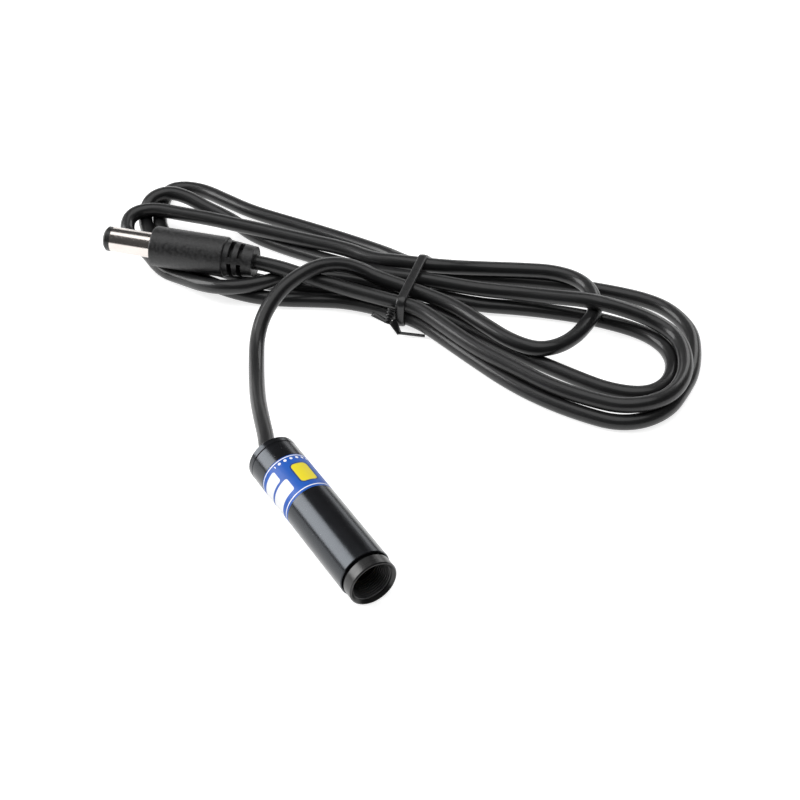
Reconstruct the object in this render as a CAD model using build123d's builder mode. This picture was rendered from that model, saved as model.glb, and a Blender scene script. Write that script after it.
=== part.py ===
from build123d import *
import os
from math import cos, pi, radians, sin, sqrt, tan

os.makedirs("parts", exist_ok=True)

# Driving dimensions, in millimetres
# The module lies along X on the ground, its beam leaving at +X

# Turned body
housing_diameter = 10.0
housing_length = 33.6
housing_wall = 0.5
housing_edge = 0.15
cap_rim_length = 1.5
cap_edge = 0.25
cap_wall = 1.9
cap_spigot_length = 3.0
turned_gap = 0.02
flat_gap = 0.02

# Label in its band on the tube
label_offset = 4.3
label_width = 9.8
label_thickness = 0.06
label_band_depth = 0.08
label_side_gap = 0.05
label_seam_angle = 6
label_seam_side = 225

# Optics barrel, its head standing out in front as a ring
head_step = 0.25
head_diameter = housing_diameter - 2 * head_step
head_length = 2.3
head_chamfer = 0.2
neck_groove = 0.45
neck_diameter = head_diameter - 2 * neck_groove
neck_length = 0.6
barrel_length = 17.5
front_thread_wall = 0.8
front_thread_diameter = head_diameter - 2 * front_thread_wall
front_thread_depth = 5.0
mouth_flare = 0.45
mouth_diameter = front_thread_diameter + 2 * mouth_flare
mouth_depth = 0.5
cell_shoulder = 0.45
cell_bore_diameter = front_thread_diameter - 2 * cell_shoulder
diode_seat_depth = 2.2

# Collimator
cell_length = 4.4
cell_recess = 0.6
cell_wall = 0.7
lens_diameter = cell_bore_diameter - 2 * cell_wall
lens_flange = 0.7
lens_crown_diameter = lens_diameter - 2 * lens_flange
lens_ledge = 0.6
cell_aperture = lens_diameter - 2 * lens_ledge
cell_seat_depth = 3.2
cell_slot_width = 0.9
cell_slot_depth = 0.8
lens_edge = 1.0
lens_crown = 0.8
retainer_length = 0.9
spring_wire = 0.4
spring_gap = 0.2
spring_diameter = cell_bore_diameter - spring_wire - 2 * spring_gap
spring_turns = 3

# Laser diode in its can
header_diameter = 5.6
header_thickness = 1.2
header_notch = 0.4
post_width = 1.2
post_height = 1.4
can_diameter = 4.4
can_height = 2.3
can_front_gap = 0.1
can_wall = 0.2
can_eye = 1.6
window_diameter = 2.6
window_thickness = 0.25
lead_diameter = 0.45
lead_length = 3.9
lead_circle = 2.0
lead_count = 3
clamp_ring_bore = 3.8

# Driver board and what is soldered to it
board_length = 12.0
board_thickness = 1.0
board_lead_overlap = 2.0
board_bore_gap = 0.04
chip_size = (4.0, 3.8, 1.4)
chip_lead_reach = 0.7
chip_lead_pitch = 1.2
chip_leads_a_side = 3
chip_lead_size = 0.4
chip_offset = 6.8
trimmer_size = (2.2, 2.6, 1.0)
trimmer_dial = 1.5
trimmer_dial_height = 0.35
trimmer_slot = 0.3
trimmer_offset = 3.4
filter_capacitor_size = (3.5, 2.8, 1.9)
filter_capacitor_offset = 8.8
ceramic_size = (0.8, 1.6, 0.8)
ceramic_offset = 3.6
ceramic_spacing = 3.6
resistor_size = (0.8, 1.6, 0.5)
resistor_offset = 5.4
resistor_spacing = 2.4

# Cord, its wires and the crimp on its end
cord_diameter = 3.2
cord_hole_gap = 0.1
wire_diameter = 0.9
wire_spacing = 1.2
cable_end_depth = 4.5
collar_diameter = 5.0
collar_length = 2.3
collar_gap = 0.1
wire_straight = 0.8
wire_rise_reach = 0.9
wire_rise_spread = 0.5
wire_edge_reach = 0.2
wire_edge_spread = 0.9
wire_edge_lift = 0.05
wire_rise_dip = 0.1
wire_pad_inset = 1.6
wire_pad_spread = 1.1
module_lead_straight = 1.8
run_share = 0.45

# Hank of cord: the tied bundle in the middle and a lobe of loops on each side of it
tie_centre = (-51.5, 50.5)
bundle_heading = 44
bundle_length = 9.0
lobe_gap = 2.2
lobe_inset = 1.0
top_lobe_inset = 2.5
back_lobe_start = 3.0
loop_stack = 0.2
hank_round = 1.2

# Outer strands of the bundle at the tie, in order round it: across it towards the back, and up
outer_strands = [(-7.2, 2.4), (-4.0, 2.4), (0.3, 2.5), (9.2, 4.3), (7.0, 6.2), (-6.7, 5.4)]

# Twist tie
tie_width = 2.0
tie_thickness = 0.25
tie_core_width = 0.7
tie_core_height = 0.6
tie_gap = 0.05
knot_diameter = 1.9
tail_diameter = 0.9

# Points of the tie's knot and its two tails: along the bundle, out in front of the strip, and up
knot = [(-0.5, -0.5, 5.9), (-1.5, 1.6, 2.5)]
right_tail = [(0.5, 2.2, 0.9), (3.4, 2.6, 0.6)]
left_tail = [(-3.6, 0.8, 2.7), (-6.0, -0.4, 3.0)]

# Plug, lying on the loops
plug_tip = (-97.9, 0.9)
plug_heading = 44.0
plug_seat_gap = 0.1
barrel_diameter = 5.5
barrel_bore = 4.5
barrel_reach = 11.3
barrel_tail = 2.6
barrel_tail_diameter = 6.0
barrel_flange = 7.0
barrel_flange_thickness = 0.8
tip_length = 1.6
tip_inset = 0.03
tip_round = 0.5
contact_diameter = 2.9
contact_bore = 2.1
contact_recess = 0.5
contact_tail = 3.6
contact_end = 1.0
grip_diameter = 8.8
grip_length = 16.6
grip_front_round = 0.3
grip_rear_round = 0.4
relief_length = 6.4
relief_start_diameter = 7.9
relief_end_diameter = 6.6
relief_core_diameter = 4.4
relief_rib = 1.1
relief_groove = 0.95
relief_grooves = 2
relief_window_angle = 68
relief_window_start = -17
relief_windows = 4
relief_cord_depth = 4.0
plug_lead_straight = 3.6

# Places that follow from the sizes
housing_r = housing_diameter / 2
bore_r = housing_r - housing_wall
axis_z = housing_r
module_length = cap_rim_length + housing_length + neck_length + head_length
rear_x = -module_length / 2
tube_rear_x = rear_x + cap_rim_length
tube_front_x = tube_rear_x + housing_length
head_rear_x = tube_front_x + neck_length
front_x = head_rear_x + head_length
label_rear_x = tube_rear_x + label_offset
label_front_x = label_rear_x + label_width
barrel_rear_x = front_x - barrel_length
shoulder_x = barrel_rear_x + diode_seat_depth
stop_front_x = shoulder_x + can_height + can_front_gap
thread_rear_x = front_x - mouth_depth - front_thread_depth
cell_front_x = thread_rear_x - cell_recess
cell_rear_x = cell_front_x - cell_length
lens_seat_x = cell_front_x - cell_seat_depth
header_rear_x = shoulder_x - header_thickness
cable_end_x = rear_x + cable_end_depth
cap_pocket_r = collar_diameter / 2 + collar_gap
board_front_x = header_rear_x - lead_length + board_lead_overlap
board_rear_x = board_front_x - board_length
lead_r = lead_circle / 2
# The board's middle lies halfway between the upper lead and the lower pair
lower_lead_z = lead_r * sin(radians(90 - 360 / lead_count))
board_middle_z = axis_z + (lead_r + lower_lead_z) / 2
board_top_z = board_middle_z + board_thickness / 2
board_bottom_z = board_middle_z - board_thickness / 2

module_axis = Axis((0, 0, axis_z), (1, 0, 0))
module_profile = Plane(origin=(0, 0, axis_z), x_dir=(1, 0, 0), z_dir=(0, -1, 0))


def across(x):
    """Plane square to the module's axis at x, facing the front, with local Y up."""
    return Plane(origin=(x, 0, axis_z), x_dir=(0, 1, 0), z_dir=(1, 0, 0))


def corner_radii(points, closed=False):
    """Largest tangent arc for each corner of a route: a share of its shorter run."""
    corners = [Vector(*point) for point in points]
    count = len(corners)
    indices = range(count) if closed else range(1, count - 1)
    radii = []
    for i in indices:
        before = corners[i] - corners[i - 1]
        after = corners[(i + 1) % count] - corners[i]
        half_turn = radians(before.get_angle(after)) / 2
        radii.append(run_share * min(before.length, after.length) / tan(half_turn))
    return radii


def finish(builder, name):
    builder.part.label = name
    export_step(builder.part, f"parts/{name}.step")


# Housing tube, with the shallow band that the label lies in
with BuildPart() as housing_tube:
    band_r = housing_r - label_band_depth
    with BuildSketch(module_profile):
        with BuildLine():
            Polyline(
                (tube_rear_x, bore_r),
                (tube_rear_x, housing_r - housing_edge),
                (tube_rear_x + housing_edge, housing_r),
                (label_rear_x - label_side_gap, housing_r),
                (label_rear_x - label_side_gap, band_r),
                (label_front_x + label_side_gap, band_r),
                (label_front_x + label_side_gap, housing_r),
                (tube_front_x - housing_edge, housing_r),
                (tube_front_x, housing_r - housing_edge),
                (tube_front_x, bore_r),
                close=True,
            )
        make_face()
    revolve(axis=module_axis)
finish(housing_tube, "housing_tube")

# Rear cap: rim, spigot and the pocket that the crimp on the cord seats in
with BuildPart() as rear_cap:
    cord_hole_r = cord_diameter / 2 + cord_hole_gap
    spigot_r = bore_r - turned_gap
    spigot_front_x = tube_rear_x + cap_spigot_length
    with BuildSketch(module_profile):
        with BuildLine():
            Polyline(
                (rear_x, cord_hole_r),
                (rear_x, housing_r - cap_edge),
                (rear_x + cap_edge, housing_r),
                (tube_rear_x - housing_edge, housing_r),
                (tube_rear_x, housing_r - housing_edge),
                (tube_rear_x, spigot_r),
                (spigot_front_x, spigot_r),
                (spigot_front_x, cap_pocket_r),
                (rear_x + cap_wall, cap_pocket_r),
                (rear_x + cap_wall, cord_hole_r),
                close=True,
            )
        make_face()
    revolve(axis=module_axis)
finish(rear_cap, "rear_cap")

# Label film, wrapped round and left open by a narrow seam underneath
with BuildPart() as label:
    label_inner_r = housing_r - label_band_depth + (label_band_depth - label_thickness) / 2
    seam_start = label_seam_side + label_seam_angle / 2
    seam_axis = Vector(0, cos(radians(seam_start)), sin(radians(seam_start)))
    seam_plane = Plane(origin=(0, 0, axis_z), x_dir=(1, 0, 0), z_dir=Vector(1, 0, 0).cross(seam_axis))
    with BuildSketch(seam_plane):
        with Locations(((label_rear_x + label_front_x) / 2, label_inner_r + label_thickness / 2)):
            Rectangle(label_width, label_thickness)
    revolve(axis=module_axis, revolution_arc=360 - label_seam_angle)
finish(label, "label")

# Optics barrel: shank in the tube, neck, head, front thread, lens bore, stop and diode seat
with BuildPart() as optics_barrel:
    shank_r = bore_r - turned_gap
    can_hole_r = can_diameter / 2 + turned_gap
    diode_seat_r = header_diameter / 2 + turned_gap
    with BuildSketch(module_profile):
        with BuildLine():
            Polyline(
                (barrel_rear_x, diode_seat_r),
                (barrel_rear_x, shank_r),
                (tube_front_x, shank_r),
                (tube_front_x, neck_diameter / 2),
                (head_rear_x, neck_diameter / 2),
                (head_rear_x, head_diameter / 2),
                (front_x - head_chamfer, head_diameter / 2),
                (front_x, head_diameter / 2 - head_chamfer),
                (front_x, mouth_diameter / 2),
                (front_x - mouth_depth, front_thread_diameter / 2),
                (thread_rear_x, front_thread_diameter / 2),
                (thread_rear_x, cell_bore_diameter / 2),
                (stop_front_x, cell_bore_diameter / 2),
                (stop_front_x, can_hole_r),
                (shoulder_x, can_hole_r),
                (shoulder_x, diode_seat_r),
                close=True,
            )
        make_face()
    revolve(axis=module_axis)
finish(optics_barrel, "optics_barrel")

# Lens cell with two spanner slots in its front face
with BuildPart() as lens_cell:
    cell_r = cell_bore_diameter / 2 - turned_gap
    lens_seat_r = lens_diameter / 2 + turned_gap
    with BuildSketch(module_profile):
        with BuildLine():
            Polyline(
                (cell_rear_x, cell_aperture / 2),
                (cell_rear_x, cell_r),
                (cell_front_x, cell_r),
                (cell_front_x, lens_seat_r),
                (lens_seat_x, lens_seat_r),
                (lens_seat_x, cell_aperture / 2),
                close=True,
            )
        make_face()
    revolve(axis=module_axis)
    with BuildSketch(across(cell_front_x)):
        Rectangle(cell_slot_width, cell_bore_diameter)
    extrude(amount=-cell_slot_depth, mode=Mode.SUBTRACT)
finish(lens_cell, "lens_cell")

# Plano-convex lens with a flat flange round its crown
with BuildPart() as collimating_lens:
    flange_front_x = lens_seat_x + lens_edge
    crown_x = flange_front_x + lens_crown
    crown_r = lens_crown_diameter / 2
    crown_sphere_r = (crown_r**2 + lens_crown**2) / (2 * lens_crown)
    with BuildSketch(module_profile):
        with BuildLine():
            Polyline(
                (crown_x, 0),
                (lens_seat_x, 0),
                (lens_seat_x, lens_diameter / 2),
                (flange_front_x, lens_diameter / 2),
                (flange_front_x, crown_r),
            )
            RadiusArc((flange_front_x, crown_r), (crown_x, 0), crown_sphere_r)
        make_face()
    revolve(axis=module_axis)
finish(collimating_lens, "collimating_lens")

# Ring that holds the lens down by its flange
with BuildPart() as lens_retainer:
    with BuildSketch(across(lens_seat_x + lens_edge)):
        Circle(lens_diameter / 2)
        Circle(lens_crown_diameter / 2 + turned_gap, mode=Mode.SUBTRACT)
    extrude(amount=retainer_length)
finish(lens_retainer, "lens_retainer")

# Spring between the stop and the lens cell
with BuildPart() as lens_spring:
    spring_start = stop_front_x + spring_wire / 2 + turned_gap
    spring_height = cell_rear_x - stop_front_x - spring_wire - 2 * turned_gap
    with BuildLine():
        coil = Helix(
            pitch=spring_height / spring_turns,
            height=spring_height,
            radius=spring_diameter / 2,
            center=(spring_start, 0, axis_z),
            direction=(1, 0, 0),
        )
    with BuildSketch(Plane(origin=coil @ 0, z_dir=coil % 0)):
        Circle(spring_wire / 2)
    sweep(path=coil, is_frenet=True)
finish(lens_spring, "lens_spring")

# Diode header: a notched disc with the post that carries the chip
with BuildPart() as diode_header:
    with BuildSketch(across(header_rear_x)):
        Circle(header_diameter / 2)
        with PolarLocations(header_diameter / 2, 2):
            Rectangle(2 * header_notch, header_notch, mode=Mode.SUBTRACT)
    extrude(amount=header_thickness)
    with BuildSketch(across(shoulder_x)):
        with Locations((0, -post_width / 2)):
            Rectangle(post_width, post_width)
    extrude(amount=post_height)
finish(diode_header, "diode_header")

# Diode can with its eye
with BuildPart() as diode_can:
    can_r = can_diameter / 2
    can_front_x = shoulder_x + can_height
    with BuildSketch(module_profile):
        with BuildLine():
            Polyline(
                (shoulder_x, can_r - can_wall),
                (shoulder_x, can_r),
                (can_front_x, can_r),
                (can_front_x, can_eye / 2),
                (can_front_x - can_wall, can_eye / 2),
                (can_front_x - can_wall, can_r - can_wall),
                close=True,
            )
        make_face()
    revolve(axis=module_axis)
finish(diode_can, "diode_can")

with BuildPart() as diode_window:
    with BuildSketch(across(can_front_x - can_wall)):
        Circle(window_diameter / 2)
    extrude(amount=-window_thickness)
finish(diode_window, "diode_window")

# Three leads, one above the board and two below it
with BuildPart() as diode_leads:
    with BuildSketch(across(header_rear_x)):
        with PolarLocations(lead_r, lead_count, start_angle=90):
            Circle(lead_diameter / 2)
    extrude(amount=-lead_length)
finish(diode_leads, "diode_leads")

# Ring pressed in behind the diode
with BuildPart() as diode_clamp_ring:
    with BuildSketch(across(barrel_rear_x)):
        Circle(header_diameter / 2)
        Circle(clamp_ring_bore / 2, mode=Mode.SUBTRACT)
    extrude(amount=header_rear_x - barrel_rear_x)
finish(diode_clamp_ring, "diode_clamp_ring")

# Driver board, its long edges guided by the tube's bore
with BuildPart() as driver_board:
    board_reach = max(board_top_z - axis_z, axis_z - board_bottom_z)
    board_width = 2 * (sqrt(bore_r**2 - board_reach**2) - board_bore_gap)
    with BuildSketch(Plane.XY.offset(board_bottom_z)):
        with Locations(((board_rear_x + board_front_x) / 2, 0)):
            Rectangle(board_length, board_width)
    extrude(amount=board_thickness)
finish(driver_board, "driver_board")

# Regulator chip with a row of leads on each side
with BuildPart() as regulator_chip:
    chip_x = board_front_x - chip_offset
    with BuildSketch(Plane.XY.offset(board_top_z + chip_lead_size / 2)):
        with Locations((chip_x, 0)):
            Rectangle(chip_size[0], chip_size[1])
    extrude(amount=chip_size[2])
    with BuildSketch(Plane.XY.offset(board_top_z)):
        with Locations((chip_x, 0)):
            with GridLocations(chip_lead_pitch, chip_size[1] + chip_lead_reach, chip_leads_a_side, 2):
                Rectangle(chip_lead_size, 2 * chip_lead_reach)
    extrude(amount=chip_lead_size)
finish(regulator_chip, "regulator_chip")

# Trimmer that sets the current, with a slotted dial
with BuildPart() as current_trimmer:
    trimmer_x = board_front_x - trimmer_offset
    with BuildSketch(Plane.XY.offset(board_top_z)):
        with Locations((trimmer_x, 0)):
            Rectangle(trimmer_size[0], trimmer_size[1])
    extrude(amount=trimmer_size[2])
    with BuildSketch(Plane.XY.offset(board_top_z + trimmer_size[2])):
        with Locations((trimmer_x, 0)):
            Circle(trimmer_dial / 2)
            Rectangle(trimmer_slot, trimmer_dial, mode=Mode.SUBTRACT)
    extrude(amount=trimmer_dial_height)
finish(current_trimmer, "current_trimmer")


# Plain components on the underside of the board, in rows across it
def underside_row(size, offset, spacing, count):
    """Blocks of one size, side by side across the board."""
    with BuildPart() as row:
        with BuildSketch(Plane.XY.offset(board_bottom_z)):
            with Locations((board_front_x - offset, 0)):
                with GridLocations(1, spacing, 1, count):
                    Rectangle(size[0], size[1])
        extrude(amount=-size[2])
    return row


finish(underside_row(filter_capacitor_size, filter_capacitor_offset, 1, 1), "filter_capacitor")
finish(underside_row(ceramic_size, ceramic_offset, ceramic_spacing, 2), "ceramic_capacitors")
finish(underside_row(resistor_size, resistor_offset, resistor_spacing, 3), "resistors")


def tube(points, diameter):
    """Round tube along a route of straight runs joined by tangent arcs."""
    radii = corner_radii(points)
    with BuildPart() as swept:
        with BuildLine() as route:
            FilletPolyline(*points, radius=radii)
        path = route.wire()
        with BuildSketch(Plane(origin=path @ 0, z_dir=path % 0)):
            Circle(diameter / 2)
        sweep(path=path)
    return swept, radii, path.length


# The cord's two wires, from its end to the pads on the board
pad_z = board_top_z + wire_diameter / 2 + flat_gap
pad_x = board_rear_x + wire_pad_inset
for name, side in (("positive_wire", 1), ("negative_wire", -1)):
    wire_start_y = side * wire_spacing / 2
    wire_points = [
        (cable_end_x, wire_start_y, axis_z),
        (cable_end_x + wire_straight, wire_start_y, axis_z),
        (board_rear_x - wire_rise_reach, wire_start_y + side * wire_rise_spread, pad_z - wire_rise_dip),
        (board_rear_x + wire_edge_reach, wire_start_y + side * wire_edge_spread, pad_z + wire_edge_lift),
        (pad_x, wire_start_y + side * wire_pad_spread, pad_z),
    ]
    finish(tube(wire_points, wire_diameter)[0], name)

# Crimp on the cord, seated against the cap's wall
with BuildPart() as cable_collar:
    with BuildSketch(across(rear_x + cap_wall)):
        Circle(collar_diameter / 2)
        Circle(cord_diameter / 2 + turned_gap, mode=Mode.SUBTRACT)
    extrude(amount=collar_length)
finish(cable_collar, "cable_collar")

# Frame of the tied bundle: along it, and square to it towards the back
bundle_along = Vector(1, 0, 0).rotate(Axis.Z, bundle_heading)
bundle_across = Vector(0, 1, 0).rotate(Axis.Z, bundle_heading)
bundle_origin = Vector(*tie_centre, 0)
strand_r = cord_diameter / 2
bundle_front = strand_r - min(place[0] for place in outer_strands)
bundle_back = strand_r + max(place[0] for place in outer_strands)
single_layer = cord_diameter
double_layer = 2 * cord_diameter + loop_stack


def in_bundle(along, across_it, height=0):
    """Point given from the tie: along the bundle, across it towards the back, and up."""
    point = bundle_origin + bundle_along * along + bundle_across * across_it
    return (point.X, point.Y, height)


bundle_end = Plane(origin=in_bundle(-bundle_length / 2, 0), x_dir=bundle_across, z_dir=-bundle_along)

# Outlines of the loops seen from above, chosen by hand, ending at the bundle
left_low_outline = [
    in_bundle(-lobe_gap, bundle_back - lobe_inset)[:2],
    (-80.0, 48.5),
    (-97.0, 38.8),
    (-110.5, 34.6),
    (-119.0, 28.5),
    (-119.0, 20.0),
    (-112.5, 12.0),
    (-108.5, 6.6),
    (-101.0, 5.0),
    (-91.0, 5.4),
    (-81.0, 8.8),
    (-71.5, 14.2),
    (-64.0, 21.5),
    (-56.0, 34.5),
    in_bundle(-lobe_gap, -bundle_front + lobe_inset)[:2],
]
left_opening = [
    (-103.0, 16.0),
    (-95.5, 26.5),
    (-84.0, 32.6),
    (-75.0, 36.4),
    (-66.5, 41.5),
    (-68.5, 34.5),
    (-75.5, 26.0),
    (-88.5, 18.2),
]
left_back_outline = [
    in_bundle(-lobe_gap, bundle_back - lobe_inset)[:2],
    (-80.0, 48.5),
    (-97.0, 38.8),
    (-109.5, 29.5),
    (-114.0, 21.5),
    (-112.0, 14.0),
    (-107.0, 12.2),
    (-103.5, 17.5),
    (-94.0, 27.6),
    (-80.5, 38.0),
    (-67.0, 47.2),
    in_bundle(-lobe_gap, back_lobe_start)[:2],
]
right_low_outline = [
    in_bundle(lobe_gap, bundle_back - lobe_inset)[:2],
    (-51.5, 69.0),
    (-44.0, 81.5),
    (-36.0, 89.0),
    (-26.0, 96.0),
    (-17.5, 98.0),
    (-9.5, 96.6),
    (-2.0, 91.4),
    (4.5, 84.5),
    (8.6, 76.5),
    (8.6, 68.5),
    (4.0, 61.0),
    (-5.0, 54.4),
    (-16.0, 50.2),
    (-27.5, 48.2),
    (-37.5, 45.4),
    in_bundle(lobe_gap, -bundle_front + lobe_inset)[:2],
]
right_top_outline = [
    in_bundle(lobe_gap, bundle_back - lobe_inset)[:2],
    (-52.0, 68.0),
    (-46.5, 77.0),
    (-40.5, 83.8),
    (-32.0, 86.0),
    (-22.0, 87.0),
    (-13.0, 91.0),
    (-5.0, 89.6),
    (2.5, 84.2),
    (6.8, 77.0),
    (6.8, 70.0),
    (2.5, 63.4),
    (-7.0, 57.0),
    (-17.0, 53.2),
    (-27.0, 50.2),
    (-37.5, 47.6),
    in_bundle(lobe_gap, -bundle_front + top_lobe_inset)[:2],
]
right_near_opening = [
    (-40.5, 59.6),
    (-33.0, 58.8),
    (-26.0, 60.8),
    (-22.8, 65.0),
    (-22.8, 71.0),
    (-25.6, 76.4),
    (-31.2, 73.0),
    (-36.2, 67.2),
]
right_far_opening = [
    (-18.8, 66.8),
    (-18.8, 73.0),
    (-21.4, 80.4),
    (-15.6, 83.0),
    (-10.0, 83.6),
    (-5.0, 81.8),
    (-2.8, 78.4),
    (-4.0, 73.6),
    (-8.2, 69.4),
    (-13.6, 66.4),
]


def outline_face(points, mode=Mode.ADD):
    """Face inside a rounded closed outline."""
    with BuildLine() as outline:
        FilletPolyline(*points, radius=corner_radii(points, closed=True), close=True)
    make_face(outline.edges(), mode=mode)


def loop_slab(outline, openings, height):
    """Flat slab of loops with its upper edges rounded as the cord is."""
    with BuildPart() as slab:
        with BuildSketch():
            outline_face(outline)
            for opening in openings:
                outline_face(opening, Mode.SUBTRACT)
        extrude(amount=height)
        fillet(slab.edges().group_by(Axis.Z)[-1], hank_round)
    return slab.part


# Outer shape of the hank: single layers outside, crossing layers inside, and the lifted bundle
right_openings = [right_near_opening, right_far_opening]
hank_slabs = [
    loop_slab(left_low_outline, [left_opening], single_layer),
    loop_slab(left_back_outline, [], double_layer),
    loop_slab(right_low_outline, right_openings, single_layer),
    loop_slab(right_top_outline, right_openings, double_layer),
]


def bundle_section(along):
    """Plane square to the bundle, on the ground under its middle, with local Y up."""
    return Plane(origin=in_bundle(along, 0), x_dir=bundle_across, z_dir=bundle_along)


def round_strands(reach):
    """Face inside an outline drawn tight round the outer strands, at a distance from their middles."""
    with BuildLine() as outline:
        Polyline(*outer_strands, close=True)
        offset(amount=reach, kind=Kind.ARC, mode=Mode.REPLACE)
    make_face(outline.edges())


with BuildPart() as cord_hank:
    with BuildSketch(bundle_section(-bundle_length / 2)):
        round_strands(strand_r)
    extrude(amount=bundle_length)
    for slab in hank_slabs:
        add(slab)
finish(cord_hank, "cord_hank")

# Plug frame: X from its tip to its cord, Y up
plug_axis_z = single_layer + plug_seat_gap + grip_diameter / 2
plug_along = Vector(1, 0, 0).rotate(Axis.Z, plug_heading)
plug_origin = Vector(*plug_tip, plug_axis_z)
plug_axis = Axis(plug_origin, plug_along)
grip_rear = barrel_reach + grip_length
plug_rear = grip_rear + relief_length


def plug_profile(turn=0):
    """Plane through the plug's axis, turned about it by an angle."""
    up = Vector(0, 0, 1).rotate(Axis((0, 0, 0), plug_along), turn)
    return Plane(origin=plug_origin, x_dir=plug_along, z_dir=plug_along.cross(up))


def on_plug(distance):
    point = plug_origin + plug_along * distance
    return (point.X, point.Y, point.Z)


# The lead from the module: out of the cap, down to the ground and over the loops to the bundle
module_lead_route = [
    (cable_end_x, 0.0, axis_z),
    (rear_x - module_lead_straight, 0.0, axis_z),
    (-25.4, 2.0, 4.7),
    (-30.8, 3.9, 4.0),
    (-37.6, 6.5, 2.8),
    (-44.5, 9.7, 1.8),
    (-50.4, 12.7, 1.7),
    (-55.4, 15.5, 2.6),
    (-59.0, 18.9, 4.8),
    (-61.3, 23.6, 7.4),
    (-62.2, 28.8, 9.2),
    (-62.8, 34.6, 9.6),
    (-61.6, 39.6, 8.9),
    (-59.0, 43.0, 7.6),
    (-56.4, 45.0, 6.4),
    (-52.6, 48.0, 5.6),
]
# The lead from the plug: out of the strain relief and down to the bundle
plug_lead_route = [
    on_plug(plug_rear - relief_cord_depth),
    on_plug(plug_rear + plug_lead_straight),
    (-63.6, 32.9, 6.3),
    (-57.0, 38.2, 5.4),
    (-48.6, 44.4, 5.0),
]
for name, lead_route in (("module_lead", module_lead_route), ("plug_lead", plug_lead_route)):
    lead, lead_radii, lead_run = tube(lead_route, cord_diameter)
    swept_volume = lead.part.volume
    with BuildPart() as cut_lead:
        add(lead.part)
        split(bisect_by=bundle_end, keep=Keep.TOP)
    finish(cut_lead, name)
    print(name, "length", round(lead_run, 2), "volume", round(swept_volume, 2))
    print("section times length", round(pi * cord_diameter**2 / 4 * lead_run, 2))
    print("radii", [round(radius, 1) for radius in lead_radii])

# Twist tie: a strip round the bundle with a ridge over its core, twisted in front, with two tails
strip_inside = strand_r + tie_gap
strip_front = bundle_front + tie_gap + tie_thickness


def before_strip(points):
    """Points given along the bundle, out in front of the strip, and up."""
    return [in_bundle(along, -strip_front - out_front, height) for along, out_front, height in points]


with BuildPart() as twist_tie:
    for width, height in ((tie_width, tie_thickness), (tie_core_width, tie_core_height)):
        with BuildSketch(bundle_section(-width / 2)):
            round_strands(strip_inside + height)
        extrude(amount=width)
    with BuildLine():
        knot_line = Line(*before_strip(knot))
    with BuildSketch(Plane(origin=knot_line @ 0, z_dir=knot_line % 0)):
        Circle(knot_diameter / 2)
    sweep(path=knot_line)
    for tail_points in (right_tail, left_tail):
        tail = before_strip([knot[-1], *tail_points])
        with BuildLine():
            tail_line = FilletPolyline(*tail, radius=corner_radii(tail))
        with BuildSketch(Plane(origin=tail_line @ 0, z_dir=tail_line % 0)):
            Circle(tail_diameter / 2)
        sweep(path=tail_line)
    with BuildSketch(bundle_section(-bundle_length / 2)):
        round_strands(strip_inside)
    extrude(amount=bundle_length, mode=Mode.SUBTRACT)
finish(twist_tie, "twist_tie")

# Barrel of the plug, held in the grip by a flange
with BuildPart() as plug_sleeve:
    barrel_r = barrel_diameter / 2
    sleeve_rear = barrel_reach + barrel_tail
    with BuildSketch(plug_profile()):
        with BuildLine():
            Polyline(
                (tip_length, barrel_bore / 2),
                (tip_length, barrel_r),
                (barrel_reach, barrel_r),
                (barrel_reach, barrel_tail_diameter / 2),
                (sleeve_rear - barrel_flange_thickness, barrel_tail_diameter / 2),
                (sleeve_rear - barrel_flange_thickness, barrel_flange / 2),
                (sleeve_rear, barrel_flange / 2),
                (sleeve_rear, barrel_bore / 2),
                close=True,
            )
        make_face()
    revolve(axis=plug_axis)
finish(plug_sleeve, "plug_sleeve")

# Insulator: the black tip and the bush inside the barrel
with BuildPart() as plug_insulator:
    bush_r = barrel_bore / 2 - turned_gap
    bush_bore_r = contact_diameter / 2 + turned_gap
    tip_r = barrel_r - tip_inset
    with BuildSketch(plug_profile()):
        with BuildLine():
            Polyline(
                (0, bush_bore_r),
                (0, tip_r - tip_round),
                (tip_round, tip_r),
                (tip_length, tip_r),
                (tip_length, bush_r),
                (sleeve_rear, bush_r),
                (sleeve_rear, bush_bore_r),
                close=True,
            )
        make_face()
    revolve(axis=plug_axis)
finish(plug_insulator, "plug_insulator")

# Inner contact: a socket with a closed tail
with BuildPart() as plug_inner_contact:
    contact_rear = sleeve_rear + contact_tail
    with BuildSketch(plug_profile()):
        with BuildLine():
            Polyline(
                (contact_recess, contact_bore / 2),
                (contact_recess, contact_diameter / 2),
                (contact_rear, contact_diameter / 2),
                (contact_rear, 0),
                (contact_rear - contact_end, 0),
                (contact_rear - contact_end, contact_bore / 2),
                close=True,
            )
        make_face()
    revolve(axis=plug_axis)
finish(plug_inner_contact, "plug_inner_contact")

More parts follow.
